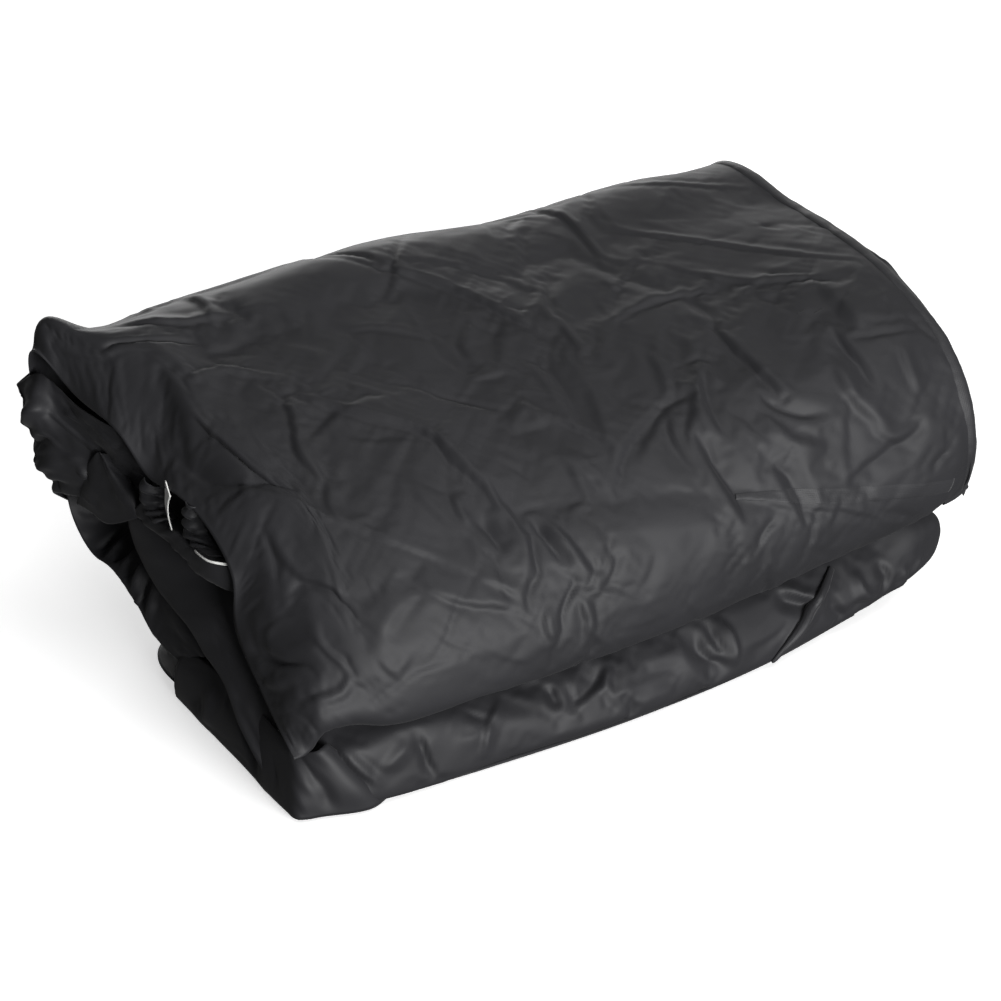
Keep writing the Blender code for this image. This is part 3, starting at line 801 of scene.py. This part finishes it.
# Each rail runs forward under the fold to the front foot, up, and back over the top.
LOWER_RAILS = [
    mm((-150, 80, 3), (-182, 60, 3), (-182, -30, 3), (-182, -98, 2), (-182, -107, 3), (-182, -106, 14),
       (-180, -101, 28), (-179, -92, 36), (-178, -30, 40), (-178, 50, 43), (-150, 86, 43)),
    mm((-140, 92, 3), (-160, 60, 3), (-160, -30, 3), (-162, -104, 2), (-164, -112.5, 3), (-164, -113.5, 16),
       (-163, -110, 31), (-162, -98, 38), (-160, -30, 42), (-160, 50, 45), (-135, 92, 45)),
    mm((-118, 97, 3), (-125, 60, 3), (-125, -30, 3), (-125, -106, 2), (-125, -116.5, 3), (-125, -116.5, 18),
       (-125, -111, 34), (-125, -98, 39.5), (-125, -30, 43), (-125, 50, 46), (-118, 98, 46)),
    section(-75, (98, 3), (60, 3), (-30, 3), (-106, 2), (-114.5, 3), (-115, 18), (-101, 33), (-82, 40),
            (-30, 43), (50, 46), (98, 46)),
    section(-20, (98, 3), (60, 3), (-30, 3), (-106, 2), (-116, 3), (-116, 18), (-101, 34), (-82, 41),
            (-30, 44), (50, 46), (98, 46)),
    section(30, (98, 3), (60, 3), (-30, 3), (-104, 2), (-113.5, 3), (-114, 18), (-99, 35), (-80, 42),
            (-30, 44), (50, 46), (98, 46)),
    mm((73, 98, 3), (75, 60, 3), (75, -30, 3), (75, -98, 2), (76, -108, 3), (78, -110, 16), (80, -98, 33),
       (78, -78, 43), (75, -30, 45), (75, 50, 46), (73, 98, 46)),
    mm((112, 98, 3), (115, 60, 3), (115, -30, 3), (115, -92, 3), (118, -102, 6), (120, -104, 18),
       (122, -93, 35), (120, -76, 45), (115, -30, 46), (115, 50, 46), (112, 98, 46)),
    mm((140, 96, 5), (150, 60, 4), (150, -30, 4), (150, -88, 6), (154, -97, 12), (156, -98, 24),
       (156, -88, 37), (154, -73, 47), (150, -30, 48), (150, 50, 47), (138, 96, 46)),
    mm((160, 94, 10), (178, 60, 8), (178, -30, 8), (178, -82, 10), (182, -90, 14), (185, -91.5, 26),
       (184, -89, 40), (180, -80, 48), (178, -30, 48), (176, 50, 47), (158, 94, 44)),
    mm((172, 88, 18), (192, 55, 16), (194, -30, 16), (194, -78, 18), (198, -84, 21), (201, -85, 30),
       (200, -83, 40), (196, -75, 45), (194, -30, 45), (192, 50, 44), (170, 92, 38)),
    mm((178, 85, 30), (196, 50, 30), (200, -30, 30), (199, -74, 30), (201, -78, 30), (202, -79, 32),
       (202, -77, 34), (200, -70, 34.5), (200, -30, 34), (198, 45, 33), (176, 88, 31)),
]


def lower_pieces(taffeta, binding):
    lower = cloth_piece("lower_wrap", LOWER_RAILS, LOWER, "taffeta", taffeta,
        stands_for=("lower_skirt_wrap", "lower_skirt_pack", "lower_right_fold"), rests_on=("floor_layer",),
        step=0.0015, strokes=LOWER_STROKES, seed=31, count=50, height=0.0012, waves=0.0006, wave_size=0.035,
        length=(0.015, 0.05), width=(0.0015, 0.0035), facet=(2.0, 5.0),
        buckle={"step": 0.0035, "busy": 0.008, "calm": 0.001, "hold": 0.12, "frames": 12},
        fine={"seed": 35, "count": 120, "height": 0.0004, "waves": 0.0001, "wave_size": 0.012,
              "width": (0.001, 0.002), "facet": (1.5, 4.0)})

    hem = mm((262, 207), (268, 214), (282, 226), (294, 235), (302, 242))
    trim_piece("lower_hem_edge", strip_on(lower, hem, (0.002, 0.004, 0.004, 0.003), 0.001, 0.0008), LOWER,
        binding, ("lower_hem_roll",))

    floor_rails = [
        mm((-193, 20, 1.2), (-192, -40, 1.2), (-190.5, -107.5, 1)),
        mm((-160, 90, 1.2), (-160, -10, 1.2), (-166, -112, 1)),
        section(-100, (97, 1.2), (0, 1.2), (-115.5, 1)),
        section(0, (98, 1.2), (0, 1.2), (-114.5, 1)),
        mm((80, 97, 1.2), (80, 0, 1.2), (78, -106, 1)),
        mm((158, 80, 1.2), (158, 0, 1.2), (145, -90, 1.2)),
    ]
    cloth_piece("bottom_layer", floor_rails, LOWER, "taffeta", taffeta, stands_for=("floor_layer",),
        rests_on=("lower_wrap",), step=0.004, seed=32, count=30, height=0.0004, waves=0.0003,
        wave_size=0.05, length=(0.04, 0.1))

    corner = [
        mm((-193, 18, 1.2), (-192.5, -30, 1.2), (-191.2, -100, 1.2), (-190.8, -107, 1.2),
           (-190, -108.6, 1.2), (-188, -109.4, 1.2), (-180, -111.2, 1.2), (-152, -116.8, 1.2),
           (-144, -113, 1.2)),
        mm((-195, 15, 11), (-193.5, -32, 11), (-190.5, -99, 11), (-189.8, -106.2, 11), (-189, -108, 11),
           (-186.8, -109, 11), (-179, -111.4, 11), (-160, -116.4, 13), (-153, -112, 13)),
        mm((-194.5, 11, 25), (-191, -34, 23), (-188, -95, 22), (-187.4, -102, 22), (-186.6, -104.8, 22),
           (-184, -106.4, 22), (-179, -109, 23), (-169, -112.4, 25), (-162, -108, 26)),
        mm((-190, 8, 34), (-185, -40, 35), (-184, -90, 34), (-183.2, -98, 34), (-181.5, -102, 34.5),
           (-178, -106, 36), (-172, -104, 37)),
    ]
    tucks = stroke_table([
        (3, (12, 4), 0.9, (0, 75), (20, 70), (36, 60)),
        (2.2, (5, 5), 0.9, (0, 122), (18, 128), (36, 126)),
        (-2.4, (6, 10), 0.7, (4, 28), (18, 34), (34, 30)),
    ])
    cloth_piece("lower_left_corner", corner, LOWER, "taffeta", taffeta, stands_for=("left_pleat_low",),
        rests_on=("lower_wrap",), seed=33, count=14, height=0.0012, waves=0.0012, wave_size=0.03,
        strokes=tucks)

    pleats = [
        mm((-209, 107, 84), (-208.5, 104, 74), (-207, 98, 61), (-205, 87, 53), (-203, 66, 53),
           (-202, 50, 48), (-200, 39, 40), (-197, 29, 29), (-194, 9, 26)),
        mm((-198, 101, 86), (-200, 102, 74), (-190, 95, 64), (-186, 82, 59), (-190, 64, 60), (-194, 48, 58),
           (-194, 34, 51), (-193, 22, 40), (-191, 2, 33)),
        mm((-187, 98, 90), (-187, 98, 78), (-178, 85, 72), (-174, 70, 68), (-180, 55, 68), (-188, 40, 66),
           (-190, 25, 60), (-190, 10, 49), (-188, -10, 39)),
        mm((-160, 95, 46), (-160, 85, 45), (-160, 70, 45), (-165, 55, 45), (-168, 40, 44), (-170, 25, 43),
           (-172, 10, 41), (-172, -10, 38)),
    ]
    folds = [([(0.000, 0.041 + 0.0075 * i), (0.012, 0.037 + 0.0075 * i), (0.024, 0.031 + 0.0075 * i)],
              0.0034 * (-1) ** i, 0.0034, 0.85) for i in range(8)]
    cloth_piece("left_pleats", pleats, LOWER, "taffeta", taffeta,
        stands_for=("left_pleat_middle", "left_pleat_high"), rests_on=("lower_left_corner",), step=0.0012,
        strokes=folds, seed=34, count=26, height=0.0014, waves=0.001, wave_size=0.012, length=(0.01, 0.03),
        width=(0.001, 0.003), lean=0.0, spread=0.3, rim=0.0)

    end_wall = [
        mm((-156, 95, 2), (-168, 70, 2), (-176, 40, 2), (-180, 15, 2)),
        mm((-160, 95, 22), (-173, 70, 22), (-181, 40, 22), (-185, 15, 22)),
        mm((-154, 95, 42), (-166, 70, 44), (-174, 40, 44), (-178, 15, 42)),
    ]
    layers = [([(0.010 * i + 0.006, 0.0), (0.010 * i + 0.009, 0.045), (0.010 * i + 0.005, 0.090)],
               0.0022 * (-1) ** i, (0.002, 0.006), 0.9) for i in range(4)]
    cloth_piece("lower_end_left", end_wall, LOWER, "taffeta", taffeta, rests_on=("lower_wrap",),
        step=0.0015, strokes=layers, seed=36, count=16, height=0.001, waves=0.0008, wave_size=0.02,
        length=(0.01, 0.04), width=(0.001, 0.003), facet=(2.0, 5.0), lean=1.5, spread=0.3)


# The larger creases of the two wraps, in the sheets' flat coordinates.
WRAP_STROKES = stroke_table([
    (2.6, (16.5, 48), 0.65, (36, 403), (109, 381), (166, 368), (218, 376), (256, 384), (337, 414),
     (395, 436)),
    (-2.8, (4.5, 22.4), 0.7, (95, 264), (120, 290), (146, 315), (156, 348), (164, 376)),
    (-1.6, (2.3, 9.6), 0.95, (49, 342), (83, 350), (105, 368), (132, 391)),
    (2.6, (11.2, 3), 0.9, (36, 269), (37, 292), (41, 321), (49, 343)),
    (2, (3, 11.2), 0.9, (18, 279), (23, 317), (39, 349)),
    (-1.8, (3, 9.6), 0.75, (93, 264), (87, 287), (81, 305), (85, 324)),
    (-0.9, (1.6, 4.8), 1.0, (148, 314), (148, 334), (156, 348)),
    (-1.2, (4.5, 12.8), 0.7, (128, 330), (124, 345), (128, 360), (138, 378), (134, 391)),
    (-1.6, (3, 8), 0.9, (140, 348), (138, 362), (140, 372)),
    (-2.6, (14.4, 3), 0.8, (154, 350), (160, 368), (162, 383), (160, 399), (150, 409)),
    (1.8, (3, 8), 0.9, (142, 364), (148, 378), (150, 389)),
    (-1.8, (3, 11.2), 0.85, (103, 383), (114, 397), (134, 407), (150, 409)),
    (-1.4, (2.3, 6.4), 0.95, (132, 393), (142, 399), (152, 409)),
    (2.6, (3, 6.4), 0.95, (170, 372), (174, 389), (180, 403)),
    (-2.4, (9.6, 3.7), 0.85, (176, 376), (184, 395), (190, 413)),
    (1.4, (3, 6.4), 0.9, (170, 374), (164, 389), (152, 416)),
    (1.8, (2.3, 4.8), 1.0, (182, 401), (180, 409), (172, 418), (168, 436)),
    (-1.8, (3, 6.4), 0.9, (164, 415), (162, 426), (166, 436)),
    (-1.4, (2.3, 4.8), 0.95, (182, 415), (184, 424), (184, 438)),
    (0.9, (3, 6.4), 0.85, (190, 413), (198, 405), (208, 389)),
    (-1.4, (3, 8), 0.95, (21, 349), (27, 374), (37, 391), (66, 391)),
    (1.2, (6.4, 2.3), 0.95, (25, 399), (37, 393), (47, 395), (68, 403)),
    (-1, (1.6, 3.2), 1.0, (36, 420), (45, 430), (57, 434)),
    (-2, (2.3, 4.8), 1.0, (57, 434), (51, 446), (25, 457)),
    (2.6, (3, 8), 0.95, (0, 405), (19, 430), (34, 438), (37, 446)),
    (-1.8, (3.7, 8), 0.8, (8, 411), (23, 427), (36, 436)),
    (-2, (4.5, 9.6), 0.8, (0, 411), (14, 440), (32, 442)),
    (-1.2, (6, 12.8), 0.7, (76, 413), (89, 399), (103, 391)),
    (-0.8, (3.7, 8), 0.85, (74, 420), (81, 428), (93, 420)),
    (-2.2, (3.7, 19.2), 0.75, (176, 198), (196, 213), (216, 241), (226, 259), (236, 277)),
    (-1.8, (11.2, 4.5), 0.75, (252, 232), (242, 255), (242, 281)),
    (1.6, (6, 12.8), 0.75, (206, 276), (220, 293), (220, 320), (220, 348)),
    (-1.2, (4.5, 9.6), 0.75, (202, 254), (190, 270), (196, 283)),
    (-1.6, (16, 6), 0.7, (194, 309), (200, 320), (200, 330)),
    (0.8, (4.8, 1.6), 0.95, (156, 290), (174, 301), (188, 314)),
    (-1, (4.5, 9.6), 0.75, (198, 342), (202, 358), (200, 372)),
    (-1, (6, 12.8), 0.75, (236, 309), (228, 340), (222, 368)),
    (-1, (3.7, 8), 0.75, (89, 322), (81, 342), (85, 352)),
    (1, (2.3, 4.8), 0.95, (19, 349), (23, 372), (23, 389), (25, 399)),
    (-2.4, (4.5, 12.8), 0.75, (314, 301), (316, 324), (318, 336), (322, 353), (328, 367)),
    (-2.8, (11.2, 3.7), 0.8, (294, 319), (282, 337), (278, 357), (282, 371)),
    (-1.4, (9.6, 3), 0.75, (294, 319), (294, 332), (296, 342)),
    (3.4, (3.7, 12.8), 0.9, (270, 357), (272, 373), (278, 394), (280, 410)),
    (-1.6, (9.6, 3), 0.8, (266, 369), (270, 388), (276, 408)),
    (3.2, (3, 8), 0.9, (308, 349), (316, 363), (330, 373), (341, 375)),
    (-2.6, (12.8, 5.3), 0.75, (304, 359), (314, 379), (335, 392)),
    (3.4, (9.6, 3), 0.9, (359, 331), (359, 346), (361, 363), (361, 379)),
    (-3, (4.5, 12.8), 0.8, (353, 347), (351, 367), (357, 382), (367, 398)),
    (-1.4, (3, 6.4), 0.8, (383, 353), (381, 371), (383, 386)),
    (1, (1.6, 3.2), 1.0, (361, 343), (383, 350), (405, 358)),
    (1.2, (1.6, 3.2), 1.0, (395, 341), (399, 356), (405, 369)),
    (-1.4, (3, 6.4), 0.9, (353, 384), (365, 398), (379, 400)),
    (2, (11.2, 4.5), 0.9, (337, 412), (363, 404), (383, 398)),
    (1.8, (11.2, 3), 0.85, (264, 336), (256, 355), (258, 371), (260, 380)),
    (1.2, (3, 9.6), 0.9, (262, 338), (248, 344), (230, 357), (220, 372)),
    (-1.2, (4.5, 9.6), 0.75, (204, 345), (210, 360), (216, 376)),
    (2.6, (4.5, 9.6), 0.85, (304, 384), (312, 404), (316, 428)),
    (-1.4, (8, 3), 0.85, (300, 390), (306, 408), (314, 426)),
    (1.6, (2.3, 4.8), 1.0, (284, 423), (292, 415), (300, 414)),
    (1, (6.4, 2.3), 0.95, (328, 432), (333, 424), (337, 414)),
    (-0.8, (1.6, 4.8), 1.0, (256, 384), (282, 396), (308, 410), (335, 422), (369, 448)),
    (1.8, (2.3, 4.8), 1.0, (379, 425), (385, 421), (393, 419)),
    (-1.2, (3, 6.4), 0.9, (198, 395), (192, 411), (186, 418)),
    (0.8, (2.3, 4.8), 0.9, (206, 397), (202, 409), (196, 416)),
    (0.7, (3, 6.4), 0.85, (228, 405), (222, 415), (216, 422)),
    (-0.6, (1.6, 4.8), 1.0, (300, 205), (355, 252), (385, 285), (407, 307)),
    (-1.8, (7.5, 16), 0.7, (371, 304), (373, 327), (373, 343)),
    (1.2, (7.5, 16), 0.7, (274, 217), (292, 247), (310, 276), (318, 301)),
    (-1.2, (6, 12.8), 0.7, (276, 304), (272, 319), (268, 340)),
    (-1, (3.7, 8), 0.75, (278, 342), (266, 359), (262, 371)),
    (-1.2, (12.8, 4.5), 0.75, (290, 357), (298, 373), (304, 384)),
    (0.8, (3, 6.4), 0.85, (349, 373), (345, 390), (343, 406)),
    (-1.8, (3, 6.4), 0.95, (81, 171), (85, 182), (83, 208)),
    (-1.6, (3, 6.4), 0.95, (45, 182), (57, 190), (74, 200), (97, 202)),
    (1.4, (2.3, 4.8), 0.95, (22, 203), (55, 213), (79, 219)),
    (-1.2, (2.3, 6.4), 0.9, (48, 162), (59, 171), (89, 171), (148, 169)),
    (-1.2, (6.4, 2.3), 0.9, (44, 247), (74, 239), (97, 254)),
    (-1.2, (2.3, 4.8), 0.95, (12, 166), (27, 205), (41, 221)),
    (1, (3, 6.4), 0.8, (210, 173), (235, 173), (262, 173), (292, 188)),
    (-0.5, (1.6, 3.2), 1.0, (320, 173), (359, 189), (397, 206)),
    (-1.2, (4.5, 9.6), 0.75, (256, 236), (244, 272), (244, 293)),
    (1, (4.5, 9.6), 0.75, (226, 364), (244, 351), (262, 338), (284, 340)),
])
LOWER_STROKES = stroke_table([
    (2.4, (8.4, 2.4), 0.95, (14, 242), (22, 228), (36, 211)),
    (-1.6, (3.2, 5.6), 0.85, (20, 236), (28, 228), (36, 217)),
    (-2.8, (2.4, 5.6), 0.95, (54, 236), (56, 224), (60, 209)),
    (2, (4, 7), 0.9, (34, 220), (44, 228), (50, 232)),
    (2.4, (7, 2.4), 0.95, (106, 240), (90, 226), (86, 209)),
    (-1.6, (3.2, 5.6), 0.9, (80, 240), (88, 234), (100, 228)),
    (-3, (3.2, 5.6), 0.9, (132, 240), (132, 232), (134, 226)),
    (-3, (8.4, 3.2), 0.85, (134, 226), (150, 230), (164, 240)),
    (1.8, (5.6, 2.4), 0.95, (164, 240), (160, 232), (156, 226)),
    (-5, (4.8, 9.8), 0.85, (218, 243), (218, 230), (234, 213)),
    (3.4, (7, 2.4), 0.95, (236, 213), (236, 228), (232, 243)),
    (-2, (2.4, 4.2), 0.95, (226, 243), (228, 230), (232, 222)),
    (-4.8, (3.2, 7), 0.9, (264, 243), (272, 236), (288, 226)),
    (2.6, (5.6, 2.4), 0.95, (268, 245), (278, 236), (290, 228)),
    (3.4, (2.4, 8.4), 0.95, (262, 207), (268, 214), (282, 226), (294, 235), (302, 242)),
    (-3.4, (4, 7), 0.9, (294, 230), (304, 213), (310, 207)),
    (3, (3.2, 5.6), 0.95, (314, 236), (316, 224), (328, 211)),
    (-3.4, (3.2, 5.6), 0.95, (328, 234), (334, 219), (332, 209)),
    (2.6, (3.2, 5.6), 0.95, (342, 224), (346, 211), (338, 209)),
    (-2.4, (2.4, 4.2), 0.95, (306, 215), (316, 215), (328, 211)),
    (2, (3.2, 5.6), 0.95, (358, 219), (356, 211), (358, 209)),
    (1, (6.4, 11.2), 0.7, (64, 232), (94, 230), (132, 222)),
    (-1.2, (4.8, 8.4), 0.8, (168, 226), (192, 228), (212, 224)),
    (1.2, (4.8, 8.4), 0.8, (172, 215), (190, 217), (202, 215)),
    (-1.4, (4.8, 8.4), 0.8, (238, 219), (256, 220), (274, 226)),
])


# ---------------------------------------------------------------- build

def main():
    add_camera()
    add_world()
    for light in LIGHTS:
        add_light(*light)
    add_floor()
    bpy.context.scene.view_settings.view_transform = "Standard"
    taffeta = cloth_material("taffeta", (0.0145, 0.0145, 0.0165), 0.60, sheen=0.04)
    binding = cloth_material("binding", (0.016, 0.016, 0.018), 0.55, weave=0.0009, bump=0.3)
    white = cloth_material("elastic", (0.72, 0.72, 0.70), 0.65, weave=0.0012, bump=0.5)
    thread = cloth_material("thread", (0.008, 0.008, 0.009), 0.6)
    upper_pieces(taffeta, binding, thread)
    left_end_pieces(taffeta, white)
    lower_pieces(taffeta, binding)


main()
